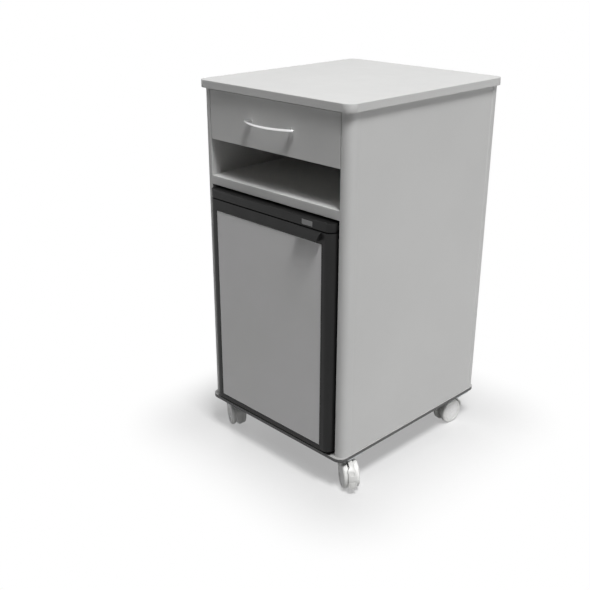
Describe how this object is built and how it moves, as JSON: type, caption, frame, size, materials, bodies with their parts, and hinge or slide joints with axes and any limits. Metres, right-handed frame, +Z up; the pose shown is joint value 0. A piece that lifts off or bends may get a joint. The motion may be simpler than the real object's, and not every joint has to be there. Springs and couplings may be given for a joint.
{
  "type": "refrigerator nightstand",
  "caption": "Bedside cabinet on swivel casters with a sliding drawer under a round-cornered top, an open niche and a small built-in refrigerator behind a panelled hinged door.",
  "frame": {"origin": "on the floor, at the centre of the bounding box's plan", "axes": "+Z up, -Y out of the front with the drawer and door, +X to the right as seen from the front"},
  "size_m": [0.5256, 0.555, 0.9],
  "materials": {
    "laminate": "grey laminate, matt",
    "base_laminate": "dark-edged laminate, matt",
    "batten_wood": "plain wood",
    "zinc_steel": "zinc-plated, satin",
    "black_plastic": "fine-grained, satin",
    "decor_laminate": "grey laminate, satin",
    "insulating_foam": "rigid foam, matt",
    "white_plastic": "smooth, satin",
    "grey_plastic": "smooth, satin",
    "seal_rubber": "soft, matt",
    "satin_metal": "satin",
    "dark_steel": "black paint, semi-matt",
    "case_steel": "dark paint, semi-matt",
    "jacket_metal": "plain sheet, satin",
    "white_wire": "white coating, smooth",
    "caster_plastic": "light grey, smooth",
    "tread_plastic": "light grey, smooth"
  },
  "bodies": {
    "cabinet": {"top_board": "laminate", "base_board": "base_laminate", "left_side_panel": "laminate", "right_side_panel": "laminate", "front_corner_posts": "laminate", "rear_corner_posts": "laminate", "niche_shelf": "laminate", "back_panel": "laminate", "cable_grommet": "grey_plastic", "rail_battens": "batten_wood", "cabinet_rails": "zinc_steel", "fridge_case": "case_steel", "fridge_foam": "insulating_foam", "fridge_liner": "white_plastic", "fridge_bar": "black_plastic", "fridge_feet": "grey_plastic", "door_hinges": "zinc_steel", "wire_shelves": "white_wire", "evaporator": "jacket_metal", "thermostat_housing": "white_plastic", "condenser": "dark_steel", "absorber": "dark_steel", "boiler": "jacket_metal", "terminal_box": "grey_plastic", "caster_plates": "zinc_steel", "caster_kingpins": "zinc_steel", "caster_screws": "zinc_steel"},
    "drawer": {"drawer_front": "laminate", "drawer_tray": "white_plastic", "drawer_handle": "satin_metal", "handle_screws": "zinc_steel", "drawer_rails": "zinc_steel"},
    "middle_rails": {"middle_rails": "zinc_steel"},
    "thermostat_knob": {"thermostat_knob": "grey_plastic"},
    "fridge_door": {"door_frame": "black_plastic", "decor_panel": "decor_laminate", "door_foam": "insulating_foam", "door_liner": "white_plastic", "door_seal": "seal_rubber", "door_pull": "black_plastic", "upper_door_rack": "white_plastic", "lower_door_rack": "white_plastic"},
    "front_left_caster": {"front_left_fork": "caster_plastic", "front_left_axle": "zinc_steel"},
    "front_left_inner_wheel": {"front_left_inner_wheel": "tread_plastic"},
    "front_left_outer_wheel": {"front_left_outer_wheel": "tread_plastic"},
    "front_left_pedal": {"front_left_pedal": "caster_plastic"},
    "front_right_caster": {"front_right_fork": "caster_plastic", "front_right_axle": "zinc_steel"},
    "front_right_inner_wheel": {"front_right_inner_wheel": "tread_plastic"},
    "front_right_outer_wheel": {"front_right_outer_wheel": "tread_plastic"},
    "front_right_pedal": {"front_right_pedal": "caster_plastic"},
    "rear_left_caster": {"rear_left_fork": "caster_plastic", "rear_left_axle": "zinc_steel"},
    "rear_left_inner_wheel": {"rear_left_inner_wheel": "tread_plastic"},
    "rear_left_outer_wheel": {"rear_left_outer_wheel": "tread_plastic"},
    "rear_right_caster": {"rear_right_fork": "caster_plastic", "rear_right_axle": "zinc_steel"},
    "rear_right_inner_wheel": {"rear_right_inner_wheel": "tread_plastic"},
    "rear_right_outer_wheel": {"rear_right_outer_wheel": "tread_plastic"}
  },
  "joints": [
    {"name": "drawer_slide", "type": "slide", "parent": "cabinet", "child": "drawer", "axis": [0, -1, 0], "range_m": [0, 0.38]},
    {"name": "middle_rail_slide", "type": "slide", "parent": "cabinet", "child": "middle_rails", "axis": [0, -1, 0], "range_m": [0, 0.19]},
    {"name": "fridge_door_hinge", "type": "hinge", "parent": "cabinet", "child": "fridge_door", "pos_m": [-0.182, -0.2449, 0.36], "axis": [0, 0, -1], "range_deg": [0, 120]},
    {"name": "thermostat_turn", "type": "hinge", "parent": "cabinet", "child": "thermostat_knob", "pos_m": [0.1487, -0.0959, 0.565], "axis": [-1, 0, 0], "range_deg": [0, 270]},
    {"name": "front_left_swivel", "type": "hinge", "parent": "cabinet", "child": "front_left_caster", "pos_m": [-0.204, -0.2005, 0.06], "axis": [0, 0, 1], "continuous": true},
    {"name": "front_left_inner_spin", "type": "hinge", "parent": "front_left_caster", "child": "front_left_inner_wheel", "pos_m": [-0.18193, -0.21224, 0.0325], "axis": [0.4695, 0.8829, 0], "continuous": true},
    {"name": "front_left_outer_spin", "type": "hinge", "parent": "front_left_caster", "child": "front_left_outer_wheel", "pos_m": [-0.18193, -0.21224, 0.0325], "axis": [0.4695, 0.8829, 0], "continuous": true},
    {"name": "front_left_pedal_tilt", "type": "hinge", "parent": "front_left_caster", "child": "front_left_pedal", "pos_m": [-0.17058, -0.21827, 0.04782], "axis": [-0.4695, -0.8829, 0], "range_deg": [0, 15]},
    {"name": "front_right_swivel", "type": "hinge", "parent": "cabinet", "child": "front_right_caster", "pos_m": [0.204, -0.2005, 0.06], "axis": [0, 0, 1], "continuous": true},
    {"name": "front_right_inner_spin", "type": "hinge", "parent": "front_right_caster", "child": "front_right_inner_wheel", "pos_m": [0.22473, -0.21448, 0.0325], "axis": [0.5592, 0.829, 0], "continuous": true},
    {"name": "front_right_outer_spin", "type": "hinge", "parent": "front_right_caster", "child": "front_right_outer_wheel", "pos_m": [0.22473, -0.21448, 0.0325], "axis": [0.5592, 0.829, 0], "continuous": true},
    {"name": "front_right_pedal_tilt", "type": "hinge", "parent": "front_right_caster", "child": "front_right_pedal", "pos_m": [0.23538, -0.22167, 0.04782], "axis": [-0.5592, -0.829, 0], "range_deg": [0, 15]},
    {"name": "rear_left_swivel", "type": "hinge", "parent": "cabinet", "child": "rear_left_caster", "pos_m": [-0.204, 0.2235, 0.06], "axis": [0, 0, 1], "continuous": true},
    {"name": "rear_left_inner_spin", "type": "hinge", "parent": "rear_left_caster", "child": "rear_left_inner_wheel", "pos_m": [-0.22666, 0.21294, 0.0325], "axis": [0.4226, -0.9063, 0], "continuous": true},
    {"name": "rear_left_outer_spin", "type": "hinge", "parent": "rear_left_caster", "child": "rear_left_outer_wheel", "pos_m": [-0.22666, 0.21294, 0.0325], "axis": [0.4226, -0.9063, 0], "continuous": true},
    {"name": "rear_right_swivel", "type": "hinge", "parent": "cabinet", "child": "rear_right_caster", "pos_m": [0.204, 0.2235, 0.06], "axis": [0, 0, 1], "continuous": true},
    {"name": "rear_right_inner_spin", "type": "hinge", "parent": "rear_right_caster", "child": "rear_right_inner_wheel", "pos_m": [0.20139, 0.19864, 0.0325], "axis": [0.9945, -0.1045, 0], "continuous": true},
    {"name": "rear_right_outer_spin", "type": "hinge", "parent": "rear_right_caster", "child": "rear_right_outer_wheel", "pos_m": [0.20139, 0.19864, 0.0325], "axis": [0.9945, -0.1045, 0], "continuous": true}
  ],
  "couplings": [
    {"joint": "middle_rail_slide", "follows": "drawer_slide", "ratio": 0.5}
  ]
}
